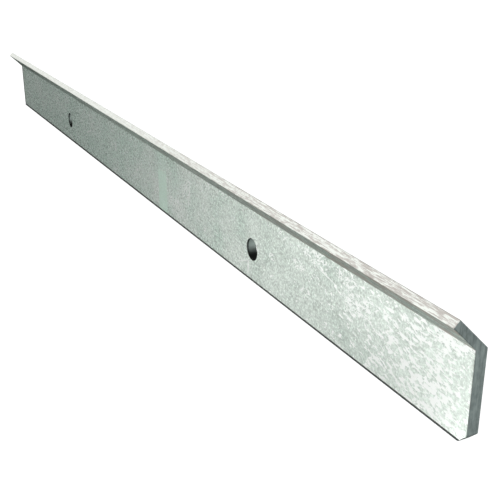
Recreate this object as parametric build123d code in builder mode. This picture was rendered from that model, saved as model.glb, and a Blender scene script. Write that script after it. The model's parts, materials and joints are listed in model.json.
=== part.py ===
from build123d import *
from math import cos, radians
import os

# Cutting edge of an ATV snow plow: a flat steel bar whose top is turned forward as a lip.
# Two bolts hold its back against the foot of the plow blade, and its bottom edge scrapes
# the ground. Sizes are in millimetres. The origin is midway between the two bolt holes, on
# the back face. +X runs along the bar to the end with the clipped corner, +Y points out of
# the back face and +Z is up.

# The bar
bar_length = 762.0  # 30 in, end to end
plate_thickness = 6.35  # 1/4 in
plate_height = 44.45  # 1 3/4 in, from the bottom edge up to the bend

# The lip
lip_angle = 45.0  # degrees forward of upright
lip_length = 17.5  # along its underside, from the bend to the tip

# The two bolt holes
bolt_diameter = 12.7  # 1/2 in
bolt_clearance = 0.8  # on the diameter
bolt_spacing = 381.0  # 15 in
bolt_height = 20.2  # centres above the bottom edge

# The edges
corner_clip = 4.8  # each leg of the 45 degree cut across the lower corner of the +X end
edge_round = 0.5  # radius on the outer edges
hole_deburr = 0.3  # chamfer on both rims of a bolt hole

# Worked out from the sizes above. The lip's two faces leave the plate level with each
# other, so the lip is thinner than the plate by the cosine of its angle.
lip_thickness = plate_thickness * cos(radians(lip_angle))
hole_radius = (bolt_diameter + bolt_clearance) / 2
front_y = -plate_thickness
bottom_z = -bolt_height
bend_z = plate_height - bolt_height

with BuildPart() as wear_bar:
    # The cross-section, drawn at the square end and run out along the bar
    with BuildSketch(Plane.YZ.offset(-bar_length / 2)):
        with BuildLine():
            plate = Polyline(
                (0, bend_z), (0, bottom_z), (front_y, bottom_z), (front_y, bend_z)
            )
            underside = PolarLine(plate @ 1, lip_length, 90 + lip_angle)
            tip = PolarLine(underside @ 1, lip_thickness, lip_angle)
            Line(tip @ 1, plate @ 0)
        make_face()
    extrude(amount=bar_length)

    # The lower corner of the +X end is cut off, so that it doesn't dig in
    clipped_end = wear_bar.faces().sort_by(Axis.X)[-1]
    chamfer(clipped_end.edges().sort_by(Axis.Z)[0], corner_clip)

    # Every edge is eased but the one inside the bend
    inside_bend = wear_bar.edges().sort_by_distance((0, front_y, bend_z))[0]
    fillet(wear_bar.edges() - [inside_bend], edge_round)

    # Bolt holes, straight through the plate and deburred on both sides
    with Locations(Plane.XZ):
        with GridLocations(bolt_spacing, 0, 2, 1):
            Hole(hole_radius)
    hole_rims = wear_bar.edges().filter_by(GeomType.CIRCLE).group_by(SortBy.RADIUS)[-1]
    chamfer(hole_rims, hole_deburr)

wear_bar.part.label = "wear_bar"
os.makedirs("parts", exist_ok=True)
export_step(wear_bar.part, "parts/wear_bar.step")
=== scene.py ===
import json
import math
import bpy
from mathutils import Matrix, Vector


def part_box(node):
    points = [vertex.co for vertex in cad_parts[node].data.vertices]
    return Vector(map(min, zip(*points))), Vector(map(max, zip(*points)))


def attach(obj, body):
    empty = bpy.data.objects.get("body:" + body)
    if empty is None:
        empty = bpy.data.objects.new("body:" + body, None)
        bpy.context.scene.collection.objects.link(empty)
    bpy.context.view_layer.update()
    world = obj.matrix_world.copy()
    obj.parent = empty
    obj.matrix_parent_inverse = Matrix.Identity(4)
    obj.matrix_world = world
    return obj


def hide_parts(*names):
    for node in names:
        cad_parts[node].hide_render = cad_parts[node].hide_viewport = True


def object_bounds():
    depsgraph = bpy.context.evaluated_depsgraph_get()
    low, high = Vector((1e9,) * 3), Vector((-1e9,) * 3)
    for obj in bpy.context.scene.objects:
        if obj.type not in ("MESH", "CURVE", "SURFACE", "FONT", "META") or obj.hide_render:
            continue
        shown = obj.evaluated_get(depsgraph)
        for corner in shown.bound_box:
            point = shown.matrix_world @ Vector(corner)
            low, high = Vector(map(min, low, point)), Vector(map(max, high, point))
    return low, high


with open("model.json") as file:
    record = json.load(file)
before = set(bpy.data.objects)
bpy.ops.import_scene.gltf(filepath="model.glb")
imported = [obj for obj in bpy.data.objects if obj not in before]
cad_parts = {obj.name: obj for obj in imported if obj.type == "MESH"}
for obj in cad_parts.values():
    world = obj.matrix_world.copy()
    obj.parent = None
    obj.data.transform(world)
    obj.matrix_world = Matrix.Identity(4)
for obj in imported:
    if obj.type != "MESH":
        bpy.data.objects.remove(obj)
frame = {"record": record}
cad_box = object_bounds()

scene = bpy.context.scene


# ---- The camera -----------------------------------------------------------------------------
# It stands near the clipped end, in front of the bar and above it, and looks back along the
# bar, so that the near end looks three times as tall as the far one.
camera_place = (0.59986, -0.21742, 0.18142)
camera_azimuth = 62.862
camera_elevation = 21.535
camera_lens = 60.708

camera_data = bpy.data.cameras.new("camera")
camera_data.lens = camera_lens
camera_data.sensor_width = 36
camera_data.clip_start = 0.01
camera_data.clip_end = 50
camera = bpy.data.objects.new("camera", camera_data)
camera.location = camera_place
camera.rotation_euler = (math.radians(90 - camera_elevation), 0, math.radians(camera_azimuth))
scene.collection.objects.link(camera)
scene.camera = camera


# ---- The floor ------------------------------------------------------------------------------
# A plain white table top that fills the view and glows, so that the bar's shade on it stays
# faint. The bar doesn't mirror it, and it lets through the light of the softboxes below it.
floor_half = 12.0
floor_z = cad_box[0].z
floor_grey = 0.3
floor_glow = 0.95

floor_mesh = bpy.data.meshes.new("floor")
floor_mesh.from_pydata(
    [(-floor_half, -floor_half, floor_z), (floor_half, -floor_half, floor_z),
     (floor_half, floor_half, floor_z), (-floor_half, floor_half, floor_z)],
    [], [(0, 1, 2, 3)])
floor_paint = bpy.data.materials.new("floor_paint")
floor_paint.use_nodes = True
floor_shader = floor_paint.node_tree.nodes["Principled BSDF"]
floor_shader.inputs["Base Color"].default_value = (floor_grey, floor_grey, floor_grey, 1)
floor_shader.inputs["Roughness"].default_value = 0.9
floor_shader.inputs["Specular IOR Level"].default_value = 0.0
floor_shader.inputs["Emission Color"].default_value = (1, 1, 1, 1)
floor_shader.inputs["Emission Strength"].default_value = floor_glow
floor_mesh.materials.append(floor_paint)
floor = bpy.data.objects.new("floor", floor_mesh)
floor.visible_diffuse = False
floor.visible_glossy = False
floor.visible_shadow = False
scene.collection.objects.link(floor)


# ---- The studio -----------------------------------------------------------------------------
# Bare zinc shows what it mirrors, so the room is dark but for a few wide glows. Two softboxes
# below the table shine up through it at the face of the bar, one of them at its near end.
glows = (
    # where it comes from, how narrow it is, how strong
    ((-0.45, -0.60, 0.66), 4.0, 1.41),  # a panel above and in front, for the lip
    ((-1.00, -0.05, 0.25), 12.0, 0.70),  # the wall beyond the square end
    ((1.00, 0.00, 0.00), 2.0, 1.15),  # the wall that the clipped end faces
    ((0.00, 0.95, 0.30), 2.0, 0.90),  # the wall behind
)
room_strength = 0.02
softboxes = (
    # name, place, what it points at, width, watts
    ("middle_softbox", (-0.15, -0.45, -0.12), (0.05, 0, 0), 0.40, 0.91),
    ("end_softbox", (0.30, -0.22, -0.22), (0.36, 0, 0), 0.20, 0.42),
)


def fill(tree, socket, value):
    """Links an output, or a node's first output, to a socket, or sets a plain value."""
    if isinstance(value, bpy.types.Node):
        value = value.outputs[0]
    if isinstance(value, bpy.types.NodeSocket):
        tree.links.new(value, socket)
    else:
        socket.default_value = value


def add_node(tree, kind, inputs=(), **settings):
    """A new node with its settings, its inputs filled by name or by number."""
    node = tree.nodes.new(kind)
    for name, value in settings.items():
        setattr(node, name, value)
    for name, value in dict(inputs).items():
        fill(tree, node.inputs[name], value)
    return node


def maths(tree, operation, *values):
    """The output of one Math node."""
    return add_node(tree, "ShaderNodeMath", enumerate(values), operation=operation).outputs[0]


def dot(tree, vector, direction):
    """How far a vector goes along a direction."""
    length = math.sqrt(sum(part * part for part in direction))
    unit = tuple(part / length for part in direction)
    return add_node(tree, "ShaderNodeVectorMath", {0: vector, 1: unit},
                    operation="DOT_PRODUCT").outputs["Value"]


world = bpy.data.worlds.new("studio")
world.use_nodes = True
room = world.node_tree
look = add_node(room, "ShaderNodeTexCoord").outputs["Generated"]
lit_room = room_strength
for direction, spread, strength in glows:
    towards = maths(room, "MAXIMUM", dot(room, look, direction), 0.0)
    lit_room = maths(room, "MULTIPLY_ADD", maths(room, "POWER", towards, spread), strength,
                     lit_room)
seen = add_node(room, "ShaderNodeLightPath").outputs["Is Camera Ray"]
fill(room, room.nodes["Background"].inputs["Strength"],
     add_node(room, "ShaderNodeMix", {"Factor": seen, "A": lit_room, "B": 1.0}))
room.nodes["Background"].inputs["Color"].default_value = (1, 1, 1, 1)
scene.world = world
scene.view_settings.view_transform = "Standard"

for name, place, target, width, watts in softboxes:
    lamp = bpy.data.lights.new(name, "AREA")
    lamp.size = width
    lamp.energy = watts
    softbox = bpy.data.objects.new(name, lamp)
    softbox.location = place
    softbox.rotation_euler = (Vector(target) - Vector(place)).to_track_quat("-Z", "Y").to_euler()
    softbox.visible_camera = False
    scene.collection.objects.link(softbox)


# ---- The zinc coat --------------------------------------------------------------------------
# Hot-dip zinc, a few hundredths of a millimetre thick, over the whole bar. It sets in small
# crystals, greyer where it has weathered, and is bright where it is fresh or rubbed.
cool_zinc = (0.548, 0.680, 0.600)
warm_zinc = (0.630, 0.696, 0.642)
bright_zinc = (0.950, 0.980, 0.950)
patch_size = (26.0, 26.0, 26.0)
crystal_size = (5.5, 2.6, 2.6)
streak_size = (9.0, 1.5, 1.5)
mottle_size = (3.2, 3.2, 3.2)
grain_size = (1.3, 1.3, 1.3)
crystal_tilt = -14.0  # degrees about Y, for the patches, crystals and streaks
plain_shade = 0.94
crystal_contrast = 0.07
streak_contrast = 0.30
patch_contrast = 0.40
mottle_shades = (-0.13, 0.13)
grain_shades = (-0.24, 0.20)
glint_shades = (0.00, 0.50)
rough_strengths = (1.75, 0.40)  # of mottle, grain and glints, at the square and the clipped end
wander_scale = 0.35
wander_reach = (3.0, 3.0, 3.0)
coat_relief = 0.00004  # metres


def millimetres(tree):
    """Where a point is on the bar, in millimetres."""
    place = add_node(tree, "ShaderNodeTexCoord").outputs["Object"]
    return add_node(tree, "ShaderNodeVectorMath", {0: place, "Scale": 1000.0},
                    operation="SCALE").outputs[0]


def turned(tree, vector, centre, angle, size):
    """A vector seen from a centre, turned about Y by an angle and measured in a size."""
    offset = add_node(tree, "ShaderNodeVectorMath", {0: vector, 1: centre}, operation="SUBTRACT")
    spun = add_node(tree, "ShaderNodeVectorRotate", {"Vector": offset, "Angle": math.radians(angle)},
                    rotation_type="Y_AXIS")
    return add_node(tree, "ShaderNodeVectorMath", {0: spun, 1: size},
                    operation="DIVIDE").outputs[0]


def noise(tree, place, size, detail=2.0, roughness=0.5, distortion=0.0, tilt=0.0):
    """Smooth noise with features of about a size in millimetres, tilted about Y."""
    return add_node(tree, "ShaderNodeTexNoise",
                    {"Vector": turned(tree, place, (0, 0, 0), tilt, size), "Scale": 1.0,
                     "Detail": detail, "Roughness": roughness,
                     "Distortion": distortion}).outputs["Fac"]


def smooth(tree, value, low, high, out_low=0.0, out_high=1.0):
    """A soft step from one value to another, held level beyond both."""
    return add_node(tree, "ShaderNodeMapRange",
                    {"Value": value, "From Min": low, "From Max": high,
                     "To Min": out_low, "To Max": out_high},
                    interpolation_type="SMOOTHSTEP").outputs["Result"]


def step_along(tree, place, low, high, out_low=0.0, out_high=1.0):
    """A soft step between two places along the bar, in millimetres from its middle."""
    return smooth(tree, dot(tree, place, (1, 0, 0)), low, high, out_low, out_high)


def swing(tree, pattern, contrast):
    """A pattern of 0 to 1 as a shift to both sides of nothing, a contrast from end to end."""
    return maths(tree, "MULTIPLY_ADD", pattern, contrast, -contrast / 2)


def tint(tree, factor, first, second):
    """Two colours mixed by a factor."""
    mix = tree.nodes.new("ShaderNodeMix")
    mix.data_type = "RGBA"
    colours = [socket for socket in mix.inputs if socket.type == "RGBA"]
    fill(tree, mix.inputs["Factor"], factor)
    for socket, colour in zip(colours, (first, second)):
        fill(tree, socket, colour if isinstance(colour, bpy.types.NodeSocket) else (*colour, 1.0))
    return next(socket for socket in mix.outputs if socket.type == "RGBA")


def brighten(tree, colour, amount):
    """A colour times a number that varies over the surface."""
    scaled = add_node(tree, "ShaderNodeVectorMath", {0: colour, "Scale": amount},
                      operation="SCALE")
    return scaled.outputs[0]


def zinc_crystals(tree, place):
    """The coat's colour, its brightness, and how high its crystals, streaks and grain stand."""
    # Large patches, warmer in tint where the bar is handled
    patches = noise(tree, place, patch_size, 3.0, 0.55, tilt=crystal_tilt)
    handled = step_along(tree, place, -200.0, 250.0)
    warmth = maths(tree, "MULTIPLY_ADD", patches, 0.4, 0.3)
    warmth = maths(tree, "MULTIPLY_ADD", handled, 0.18, warmth)
    colour = tint(tree, smooth(tree, warmth, 0.45, 0.71), cool_zinc, warm_zinc)

    # Crystals with crooked edges, and streaks across them
    wander = add_node(tree, "ShaderNodeTexNoise",
                      {"Vector": place, "Scale": wander_scale, "Detail": 2.0})
    bent = add_node(tree, "ShaderNodeVectorMath",
                    {0: wander.outputs["Color"], 1: wander_reach, 2: place},
                    operation="MULTIPLY_ADD")
    cells = add_node(tree, "ShaderNodeTexVoronoi",
                     {"Vector": turned(tree, bent, (0, 0, 0), crystal_tilt, crystal_size),
                      "Scale": 1.0})
    crystal = dot(tree, cells.outputs["Color"], (1, 1, 1))
    streak = noise(tree, place, streak_size, 3.0, 0.6, tilt=crystal_tilt)
    shade = maths(tree, "ADD", maths(tree, "MULTIPLY_ADD", crystal, crystal_contrast, plain_shade),
                  swing(tree, streak, streak_contrast))
    shade = maths(tree, "ADD", shade, swing(tree, patches, patch_contrast))

    # Mottle, grain and glints, which are stronger towards the square end
    mottle = noise(tree, place, mottle_size, 2.0, 0.6)
    grain = noise(tree, place, grain_size, 2.0, 0.7)
    rough = maths(tree, "ADD", smooth(tree, mottle, 0.36, 0.64, *mottle_shades),
                  smooth(tree, grain, 0.36, 0.60, *grain_shades))
    rough = maths(tree, "ADD", rough, smooth(tree, grain, 0.55, 0.66, *glint_shades))
    strength = step_along(tree, place, -200.0, 340.0, *rough_strengths)
    shade = maths(tree, "MULTIPLY_ADD", rough, strength, shade)

    height = maths(tree, "ADD", maths(tree, "MULTIPLY", crystal, 0.35),
                   maths(tree, "ADD", maths(tree, "MULTIPLY", streak, 0.5), grain))
    return brighten(tree, colour, shade), shade, height


def new_zinc(name):
    """A metal material, and its node tree, ready for a coat."""
    material = bpy.data.materials.new(name)
    material.use_nodes = True
    material.node_tree.nodes["Principled BSDF"].inputs["Metallic"].default_value = 1.0
    return material, material.node_tree


def finish_zinc(tree, colour, roughness, height, relief):
    """Wires a coat's colour, roughness and relief, in metres, to the shader."""
    metal = tree.nodes["Principled BSDF"]
    fill(tree, metal.inputs["Base Color"], colour)
    fill(tree, metal.inputs["Roughness"], roughness)
    fill(tree, metal.inputs["Normal"],
         add_node(tree, "ShaderNodeBump", {"Height": height, "Distance": relief,
                                           "Strength": 1.0}))


# ---- The plate's faces ----------------------------------------------------------------------
# The rolled faces of the steel, zinc coated. Handling has left scratches, scuffs and rubbed
# bright flecks, most of them towards the clipped end, and a paler band where a strap lay. The
# foot and the edge of the square end carry painted shade, a dark line along those edges.
bar_low, bar_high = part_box("wear_bar")
square_end = bar_low.x * 1000
clipped_end = bar_high.x * 1000
foot_level = bar_low.z * 1000
fleck_size = (4.4, 1.9, 1.9)
fleck_tilt = -8.0
fresh_from, fresh_to = 215.0, 365.0
fresh_patch_size = (22.0, 22.0, 14.0)
scuff_size = (5.0, 5.0, 2.8)
scuff_tilt = 25.0
scuff_strength = 0.9
scratch_strength = 0.85
mark_depth = 1e4  # far deeper than the plate, so that a mark looks the same all through it
band_zinc = (0.665, 0.840, 0.730)
band_strength = 0.75
band_centre, band_width, band_blur = 49.0, 16.0, 0.7
# Painted shade for the dark line on the foot, the scraping edge and the square end's edge
painted_edge_shade = (0.055, 0.065, 0.060)
foot_lines = (2.0, 1.25)  # how far up the foot is dark, at the square and the clipped end
end_line = 6.0  # how far in from the square end its dark edge fades out
scratches = (
    # x, z of the middle, angle from level, length, width
    (98.7, 10.5, 88, 13.0, 1.60),
    (96.4, 1.0, 84, 7.5, 1.40),
    (98.8, 16.2, -4, 9.0, 1.20),
    (91.5, 9.8, 38, 8.0, 1.10),
    (93.0, 13.5, 33, 9.0, 1.00),
    (88.5, 3.5, 30, 7.0, 1.00),
    (178.8, -11.2, 22, 14.5, 0.90),
    (185.6, -12.5, 89, 12.0, 1.70),
    (118.0, 19.5, -42, 12.0, 1.00),
    (271.8, 14.4, -10, 20.0, 0.85),
    (283.6, 20.5, 84, 8.0, 1.10),
    (229.5, 20.0, 35, 9.0, 0.85),
    (-55.0, 6.0, 86, 11.0, 1.80),
    (-130.0, 2.0, 20, 16.0, 1.20),
)
scuffs = (
    # x, z of the middle, width, height
    (262.0, 20.0, 34.0, 9.0),
    (290.0, 19.5, 22.0, 9.0),
    (245.0, 10.0, 16.0, 7.0),
    (252.0, -3.0, 12.0, 8.0),
    (215.0, 4.0, 8.0, 5.0),
    (72.0, -8.0, 26.0, 16.0),
    (92.0, 8.0, 18.0, 12.0),
    (150.0, 22.0, 20.0, 6.0),
    (300.0, 10.0, 30.0, 14.0),
)


def spot(tree, place, centre, angle, size):
    """A soft-edged patch of a length and a width, 1 in its middle and 0 outside."""
    inside = turned(tree, place, centre, angle, size)
    reach = add_node(tree, "ShaderNodeVectorMath", {0: inside}, operation="LENGTH")
    return smooth(tree, reach.outputs["Value"], 0.5, 0.35)


face_zinc, tree = new_zinc("zinc_face")
place = millimetres(tree)
along = dot(tree, place, (1, 0, 0))
up = dot(tree, place, (0, 0, 1))
colour, shade, height = zinc_crystals(tree, place)

# Rubbed flecks: a noise that is cut lower and lower towards the clipped end, in patches
fleck_noise = noise(tree, place, fleck_size, 3.0, 0.6, 0.5, tilt=fleck_tilt)
fresh = step_along(tree, place, fresh_from, fresh_to)
patchy = noise(tree, place, fresh_patch_size)
fresh = maths(tree, "MULTIPLY_ADD", maths(tree, "SUBTRACT", patchy, 0.5), 1.3, fresh)
cut = maths(tree, "MULTIPLY_ADD", fresh, -0.17, 0.66)
flecks = smooth(tree, maths(tree, "SUBTRACT", fleck_noise, cut), 0.0, 0.05)

# Scuffs: fine crooked lines where a noise crosses its middle, kept to a few places
crossing = noise(tree, place, scuff_size, 1.0, 0.5, 0.8, tilt=scuff_tilt)
crossing = maths(tree, "ABSOLUTE", maths(tree, "SUBTRACT", crossing, 0.5))
lines = smooth(tree, crossing, 0.065, 0.020)
rubbed = 0.0
for x, z, wide, tall in scuffs:
    scuff = spot(tree, place, (x, 0, z), 0.0, (wide, mark_depth, tall))
    rubbed = maths(tree, "MAXIMUM", rubbed, scuff)
marks = maths(tree, "MULTIPLY", maths(tree, "MULTIPLY", lines, rubbed), scuff_strength)
for x, z, angle, length, width in scratches:
    scratch = spot(tree, place, (x, 0, z), angle, (length, mark_depth, width))
    marks = maths(tree, "MAXIMUM", marks, maths(tree, "MULTIPLY", scratch, scratch_strength))

# The pale band, which is strong below and only faint near the lip
edge = maths(tree, "ABSOLUTE", maths(tree, "SUBTRACT", along, band_centre))
band = smooth(tree, edge, band_width / 2 + band_blur, band_width / 2 - band_blur)
band = maths(tree, "MULTIPLY", band, smooth(tree, up, 13.0, 9.0, 0.25, 1.0))
colour = tint(tree, maths(tree, "MULTIPLY", band, band_strength), colour, band_zinc)

# The clipped end is a little brighter, and the marks and flecks brightest
colour = brighten(tree, colour, step_along(tree, place, 280.0, clipped_end, 1.0, 1.10))
bright = maths(tree, "MAXIMUM", flecks, marks)
colour = tint(tree, bright, colour, bright_zinc)

# Painted shade: a dark line along the foot and along the edge of the square end
above_foot = maths(tree, "SUBTRACT", up, foot_level)
foot_line = step_along(tree, place, square_end, clipped_end, *foot_lines)
dark = smooth(tree, maths(tree, "SUBTRACT", above_foot, foot_line), 0.15, -0.15)
dark_end = step_along(tree, place, square_end + end_line, square_end + 1.0, 0.0, 0.9)
dark = maths(tree, "MAXIMUM", dark, dark_end)
colour = tint(tree, dark, colour, painted_edge_shade)

roughness = smooth(tree, shade, 0.80, 1.20, 0.56, 0.42)
roughness = maths(tree, "MULTIPLY_ADD", bright, -0.06, roughness)
finish_zinc(tree, colour, roughness, maths(tree, "SUBTRACT", height, marks), coat_relief)


# ---- The underside of the lip ---------------------------------------------------------------
# The same coat, a little rougher and darkened by painted shade, most towards the square end,
# with streaks that run along the lip and a few brownish stains towards the clipped end.
stain_zinc = (0.50, 0.45, 0.40)
stain_size = (18.0, 8.0, 8.0)
run_size = (14.0, 1.6, 1.6)
painted_under_shades = (0.62, 0.80)

under_zinc, tree = new_zinc("zinc_under_lip")
place = millimetres(tree)
colour, shade, height = zinc_crystals(tree, place)
# Painted shade: the underside darker, most towards the square end, broken up by the streaks
painted_shade_and_runs = step_along(tree, place, -380.0, -30.0, *painted_under_shades)
runs = noise(tree, place, run_size, 2.0, 0.6)
painted_shade_and_runs = maths(tree, "MULTIPLY", painted_shade_and_runs, smooth(tree, runs, 0.36, 0.62, 0.78, 1.20))
colour = brighten(tree, colour, painted_shade_and_runs)
stains = noise(tree, place, stain_size, 3.0, 0.6)
stained = step_along(tree, place, 100.0, 340.0, 0.2, 0.8)
stained = maths(tree, "MULTIPLY", smooth(tree, stains, 0.45, 0.60), stained)
colour = tint(tree, stained, colour, stain_zinc)
finish_zinc(tree, colour, smooth(tree, shade, 0.80, 1.20, 0.62, 0.50), height, coat_relief)


# ---- The long sheared edges -----------------------------------------------------------------
# The lip's tip and the scraping edge, where the plate was slit to width. The blade drew fine
# lines along them. The zinc is bright on the tip and duller in streaks towards the clipped end.
# The scraping edge is painted dark, with the same painted shade as the foot above it.
slit_zinc = (0.880, 0.910, 0.860)
slit_shadow = (0.545, 0.505, 0.470)
drawn_size = (10.0, 0.5, 0.5)
blotch_size = (4.5, 1.2, 1.2)
slit_relief = 0.00003

slit_edge, tree = new_zinc("zinc_slit_edge")
place = millimetres(tree)
drawn = noise(tree, place, drawn_size, 3.0, 0.7)
blotches = noise(tree, place, blotch_size, 2.0, 0.6)
wear = maths(tree, "ADD", maths(tree, "MULTIPLY", drawn, 0.65),
             maths(tree, "MULTIPLY", blotches, 0.35))
towards_clip = step_along(tree, place, -60.0, 330.0, 0.25, 0.85)
dull = maths(tree, "MULTIPLY", smooth(tree, wear, 0.56, 0.44), towards_clip)
colour = tint(tree, dull, slit_zinc, slit_shadow)
# Painted shade: the downward face of the scraping edge turns dark
scraping = smooth(tree, dot(tree, place, (0, 0, 1)), 0.0, -1.0)
colour = tint(tree, scraping, colour, painted_edge_shade)
finish_zinc(tree, colour, smooth(tree, wear, 0.35, 0.65, 0.52, 0.40), drawn, slit_relief)


# ---- The cut ends ---------------------------------------------------------------------------
# The square end, the clipped end and its cut corner, cropped in a shear. The steel tore down
# its thickness, so the coat there is dull, bluish and finely ribbed from top to bottom.
cropped_zinc = (0.335, 0.400, 0.385)
cropped_dark = (0.225, 0.270, 0.262)
rib_size = (1.2, 0.7, 7.0)
tear_size = (2.5, 2.5, 4.0)
lip_end_shade = 0.84
torn_relief = 0.00006

cut_end, tree = new_zinc("zinc_cut_end")
place = millimetres(tree)
up = dot(tree, place, (0, 0, 1))
ribs = noise(tree, place, rib_size, 4.0, 0.6)
mottle = noise(tree, place, tear_size, 3.0, 0.6)
tear = maths(tree, "ADD", maths(tree, "MULTIPLY", ribs, 0.55),
             maths(tree, "MULTIPLY", mottle, 0.45))
colour = tint(tree, smooth(tree, tear, 0.36, 0.64), cropped_dark, cropped_zinc)
colour = brighten(tree, colour, smooth(tree, up, 22.0, 30.0, 1.0, lip_end_shade))
finish_zinc(tree, colour, smooth(tree, tear, 0.36, 0.64, 0.62, 0.48), ribs, torn_relief)


# ---- The hole walls -------------------------------------------------------------------------
# Punched through: a dark, smoother ring just behind the front rim, torn and matt behind that,
# with painted shade in the bottom of the hole and under its top.
rim_ring_colour = (0.130, 0.155, 0.145)
torn_zinc = (0.520, 0.610, 0.570)
hole_painted_shade = (0.020, 0.022, 0.020)
torn_size = (0.9, 3.0, 0.9)
rim_ring_to = (-4.9, -4.2)  # y where the ring gives way to torn steel

hole_wall, tree = new_zinc("zinc_hole_wall")
place = millimetres(tree)
torn = noise(tree, place, torn_size, 3.0, 0.6)
depth = maths(tree, "MULTIPLY_ADD", torn, 0.8, dot(tree, place, (0, 1, 0)))
colour = tint(tree, smooth(tree, depth, *rim_ring_to), rim_ring_colour, torn_zinc)
# Painted shade: the wall darkens towards the bottom of the hole and under its top
low = maths(tree, "MULTIPLY_ADD", torn, 1.5, dot(tree, place, (0, 0, 1)))
colour = tint(tree, smooth(tree, low, 2.4, -4.6), colour, hole_painted_shade)
colour = tint(tree, smooth(tree, low, 4.2, 6.6, 0.0, 0.8), colour, hole_painted_shade)
finish_zinc(tree, colour, smooth(tree, depth, *rim_ring_to, 0.45, 0.65), torn, torn_relief)


# ---- The bar --------------------------------------------------------------------------------
# One length of mild steel plate, bent to raise its lip, cut to length, punched for two bolts
# and clipped at one lower corner. The zinc bath that coats it afterwards softens each edge.
lip_angle = math.radians(45)
lip_length = 0.017498  # a hair under 17.5 mm, so that its rounded tip stays in the bar's box
plate_height = 0.04445
corner_clip = 0.0048
edge_round = 0.0005
rim_share = 0.3  # how much of that rounding the rims of the holes get
fold_angle = math.radians(20)
hole_sides = 96
squarely = 0.99  # how nearly a surface has to face a way to count as facing it

mounts = {mount["name"]: mount for mount in frame["record"]["mounts"]}
bolts = mounts["blade_bolts"]["dims"]
plate_thickness = -2 * mounts["scraping_edge"]["pos_m"][1]


def point(tree, x, y, z):
    """The output of a Combine XYZ node."""
    return add_node(tree, "ShaderNodeCombineXYZ", {"X": x, "Y": y, "Z": z}).outputs[0]


def drawn_section(tree, size):
    """The bar's section at its square end, as one face with six corners."""
    # The lip is thinner than the plate, so that the back of the bend is level with its front
    forward = maths(tree, "SINE", size["Lip Angle"])
    upward = maths(tree, "COSINE", size["Lip Angle"])
    start_x = maths(tree, "MULTIPLY", size["Length"], -0.5)
    front = maths(tree, "MULTIPLY", size["Plate Thickness"], -1.0)
    lip_thickness = maths(tree, "MULTIPLY", size["Plate Thickness"], upward)
    under_y = maths(tree, "SUBTRACT", front, maths(tree, "MULTIPLY", size["Lip Length"], forward))
    under_z = maths(tree, "MULTIPLY_ADD", size["Lip Length"], upward, size["Bend"])
    tip_y = maths(tree, "MULTIPLY_ADD", lip_thickness, upward, under_y)
    tip_z = maths(tree, "MULTIPLY_ADD", lip_thickness, forward, under_z)
    corners = ((0.0, size["Bend"]), (tip_y, tip_z), (under_y, under_z),
               (front, size["Bend"]), (front, size["Bottom"]), (0.0, size["Bottom"]))
    corner = add_node(tree, "GeometryNodeIndexSwitch", data_type="VECTOR")
    while len(corner.index_switch_items) < len(corners):
        corner.index_switch_items.new()
    fill(tree, corner.inputs["Index"], add_node(tree, "GeometryNodeInputIndex"))
    for number, (y, z) in enumerate(corners):
        fill(tree, corner.inputs[str(number)], point(tree, start_x, y, z))
    ring = add_node(tree, "GeometryNodeMeshCircle", {"Vertices": len(corners)}, fill_type="NGON")
    return add_node(tree, "GeometryNodeSetPosition", {"Geometry": ring, "Position": corner})


def run_out(tree, size, section):
    """The section run out along the bar, and turned over as the cap of the end it left."""
    run = add_node(tree, "GeometryNodeExtrudeMesh",
                   {"Mesh": section, "Offset Scale": size["Length"], "Individual": False},
                   mode="FACES")
    cap = add_node(tree, "GeometryNodeFlipFaces", {"Mesh": section})
    blank = add_node(tree, "GeometryNodeJoinGeometry")
    tree.links.new(run.outputs["Mesh"], blank.inputs[0])
    tree.links.new(cap.outputs[0], blank.inputs[0])
    return add_node(tree, "GeometryNodeMergeByDistance", {"Geometry": blank, "Distance": 1e-6})


def clip_corner(tree, size, blank):
    """The bar with a lower corner sheared off, by a block whose side crosses it at 45 degrees."""
    block_side = maths(tree, "MULTIPLY", size["Corner Clip"], 4.0)
    block = add_node(tree, "GeometryNodeMeshCube",
                     {"Size": point(tree, block_side, block_side, block_side)})
    block_shift = maths(tree, "MULTIPLY", size["Corner Clip"], math.sqrt(2) - 0.5)
    end_x = maths(tree, "MULTIPLY", size["Length"], 0.5)
    block_x = maths(tree, "ADD", end_x, block_shift)
    block_z = maths(tree, "SUBTRACT", size["Bottom"], block_shift)
    shear = add_node(tree, "GeometryNodeTransform",
                     {"Geometry": block, "Translation": point(tree, block_x, 0.0, block_z),
                      "Rotation": (0, math.radians(45), 0)})
    return add_node(tree, "GeometryNodeMeshBoolean", {"Mesh 1": blank, "Mesh 2": shear},
                    operation="DIFFERENCE", solver="EXACT")


def punch_holes(tree, size, blank):
    """The bar with its two bolt holes."""
    hole_x = maths(tree, "MULTIPLY", size["Hole Spacing"], 0.5)
    other_hole_x = maths(tree, "MULTIPLY", size["Hole Spacing"], -0.5)
    hole_places = add_node(tree, "GeometryNodeMeshLine",
                           {"Count": 2, "Start Location": point(tree, hole_x, 0.0, 0.0),
                            "Offset": point(tree, other_hole_x, 0.0, 0.0)}, mode="END_POINTS")
    punch = add_node(tree, "GeometryNodeMeshCylinder",
                     {"Vertices": hole_sides, "Radius": size["Hole Radius"],
                      "Depth": maths(tree, "MULTIPLY", size["Plate Thickness"], 4.0)})
    punches = add_node(tree, "GeometryNodeInstanceOnPoints",
                       {"Points": hole_places, "Instance": punch,
                        "Rotation": (math.radians(90), 0, 0)})
    punches = add_node(tree, "GeometryNodeRealizeInstances", {"Geometry": punches})
    return add_node(tree, "GeometryNodeMeshBoolean", {"Mesh 1": blank, "Mesh 2": punches},
                    operation="DIFFERENCE", solver="EXACT")


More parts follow.
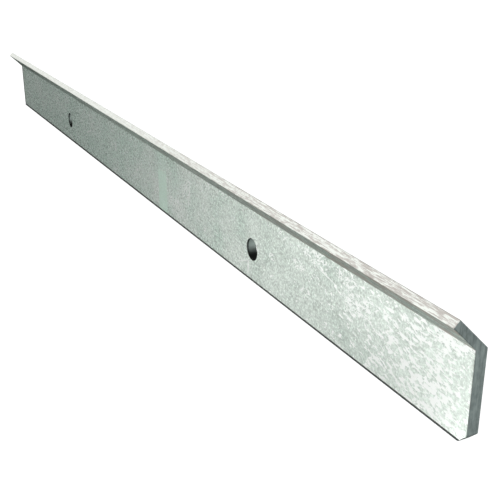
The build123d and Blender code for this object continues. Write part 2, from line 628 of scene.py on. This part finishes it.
def mark_edges(tree, punched):
    """The bar with its edges marked for rounding: the outer ones in full, the rims less."""
    rims = punched.outputs["Intersecting Edges"]
    angle = add_node(tree, "GeometryNodeInputMeshEdgeAngle").outputs
    is_outer = maths(tree, "GREATER_THAN", angle["Signed Angle"], fold_angle)
    ease = add_node(tree, "ShaderNodeMix", {"Factor": rims, "A": is_outer, "B": rim_share})
    eased = add_node(tree, "GeometryNodeStoreNamedAttribute",
                     {"Geometry": punched, "Name": "bevel_weight_edge", "Value": ease},
                     data_type="FLOAT", domain="EDGE")
    is_fold = maths(tree, "GREATER_THAN", angle["Unsigned Angle"], fold_angle)
    # Every fold is shaded sharp, and the one inside the bend isn't rounded at all
    return add_node(tree, "GeometryNodeSetShadeSmooth",
                    {"Geometry": eased, "Selection": is_fold, "Shade Smooth": False},
                    domain="EDGE")


def coat(tree, bar, material, wanted):
    """The bar with a material on the faces where every wanted test holds."""
    chosen = wanted[0]
    for test in wanted[1:]:
        chosen = maths(tree, "MULTIPLY", chosen, test)
    return add_node(tree, "GeometryNodeSetMaterial",
                    {"Geometry": bar, "Selection": chosen, "Material": material})


def coat_bar(tree, size, bar):
    """The bar with each surface's zinc, known by the way it faces and by where it is."""
    forward = maths(tree, "SINE", size["Lip Angle"])
    upward = maths(tree, "COSINE", size["Lip Angle"])
    facing = add_node(tree, "GeometryNodeInputNormal").outputs["Normal"]
    place = add_node(tree, "GeometryNodeInputPosition").outputs["Position"]
    faces_end = maths(tree, "ABSOLUTE", dot(tree, facing, (1, 0, 0)))
    faces_down = dot(tree, facing, (0, 0, -1))
    faces_front = dot(tree, facing, (0, -1, 0))
    faces_under = maths(tree, "ADD", maths(tree, "MULTIPLY", faces_down, upward),
                        maths(tree, "MULTIPLY", faces_front, forward))
    faces_tip = maths(tree, "SUBTRACT", maths(tree, "MULTIPLY", faces_front, forward),
                      maths(tree, "MULTIPLY", faces_down, upward))
    faces_across = maths(tree, "ABSOLUTE", faces_front)
    from_middle = maths(tree, "ABSOLUTE", dot(tree, place, (1, 0, 0)))
    up = dot(tree, place, (0, 0, 1))

    bar = add_node(tree, "GeometryNodeSetMaterial", {"Geometry": bar, "Material": size["Faces"]})
    bar = coat(tree, bar, size["Under Lip"], [maths(tree, "GREATER_THAN", faces_under, squarely)])
    bar = coat(tree, bar, size["Slit Edges"], [maths(tree, "GREATER_THAN", faces_tip, squarely)])
    # The scraping edge faces down at the very bottom of the bar
    foot = maths(tree, "MULTIPLY", size["Bottom"], 0.99)
    bar = coat(tree, bar, size["Slit Edges"],
               [maths(tree, "GREATER_THAN", faces_down, squarely),
                maths(tree, "LESS_THAN", up, foot)])
    # The hole walls face along the plate's faces, and lie close round the middle of a hole
    hole_x = maths(tree, "MULTIPLY", size["Hole Spacing"], 0.5)
    hole_inner = maths(tree, "SUBTRACT", hole_x, size["Hole Radius"])
    hole_outer = maths(tree, "ADD", hole_x, maths(tree, "MULTIPLY", size["Hole Radius"], 2.0))
    bar = coat(tree, bar, size["Hole Walls"],
               [maths(tree, "LESS_THAN", faces_across, 0.5),
                maths(tree, "LESS_THAN", from_middle, hole_outer),
                maths(tree, "GREATER_THAN", from_middle, hole_inner),
                maths(tree, "LESS_THAN", maths(tree, "ABSOLUTE", up), size["Hole Radius"])])
    # The two ends and the clipped corner lie past the place where the corner's cut begins
    end_x = maths(tree, "MULTIPLY", size["Length"], 0.5)
    near_end = maths(tree, "SUBTRACT", end_x, size["Corner Clip"])
    return coat(tree, bar, size["Cut Ends"],
                [maths(tree, "GREATER_THAN", faces_end, 0.6),
                 maths(tree, "GREATER_THAN", from_middle, near_end)])


def formed_bar_tree():
    """Geometry Nodes that draw the bar's section, run it out along X, cut it and coat it."""
    tree = bpy.data.node_groups.new("formed_bar", "GeometryNodeTree")
    for name in ("Length", "Plate Thickness", "Bottom", "Bend", "Lip Angle", "Lip Length",
                 "Corner Clip", "Hole Radius", "Hole Spacing"):
        tree.interface.new_socket(name, in_out="INPUT", socket_type="NodeSocketFloat")
    for name in ("Faces", "Under Lip", "Slit Edges", "Cut Ends", "Hole Walls"):
        tree.interface.new_socket(name, in_out="INPUT", socket_type="NodeSocketMaterial")
    tree.interface.new_socket("Bar", in_out="OUTPUT", socket_type="NodeSocketGeometry")
    size = add_node(tree, "NodeGroupInput").outputs
    blank = run_out(tree, size, drawn_section(tree, size))
    blank = clip_corner(tree, size, blank)
    punched = punch_holes(tree, size, blank)
    whole = add_node(tree, "GeometryNodeRealizeInstances", {"Geometry": mark_edges(tree, punched)})
    fill(tree, add_node(tree, "NodeGroupOutput").inputs["Bar"], coat_bar(tree, size, whole))
    return tree


bar_sizes = {
    "Length": bar_high.x - bar_low.x,
    "Plate Thickness": plate_thickness,
    "Bottom": bar_low.z,
    "Bend": bar_low.z + plate_height,
    "Lip Angle": lip_angle,
    "Lip Length": lip_length,
    "Corner Clip": corner_clip,
    "Hole Radius": bolts["hole_r_mm"] / 1000,
    "Hole Spacing": bolts["spacing_x_mm"] / 1000,
    "Faces": face_zinc,
    "Under Lip": under_zinc,
    "Slit Edges": slit_edge,
    "Cut Ends": cut_end,
    "Hole Walls": hole_wall,
}
rough_bar = bpy.data.objects.new("rough_bar", bpy.data.meshes.new("rough_bar"))
scene.collection.objects.link(rough_bar)
forming = rough_bar.modifiers.new("forming", "NODES")
forming.node_group = formed_bar_tree()
for socket in forming.node_group.interface.items_tree:
    if socket.in_out == "INPUT":
        forming[socket.identifier] = bar_sizes[socket.name]
bpy.context.view_layer.update()
formed = bpy.data.meshes.new_from_object(
    rough_bar.evaluated_get(bpy.context.evaluated_depsgraph_get()))
bpy.data.objects.remove(rough_bar)
bar = bpy.data.objects.new("cutting_edge", formed)
scene.collection.objects.link(bar)
rounding = bar.modifiers.new("edge_round", "BEVEL")
rounding.width = edge_round
rounding.segments = 4
rounding.limit_method = "WEIGHT"
rounding.harden_normals = True
for face in formed.polygons:
    face.use_smooth = True
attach(bar, "root")
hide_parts("wear_bar")
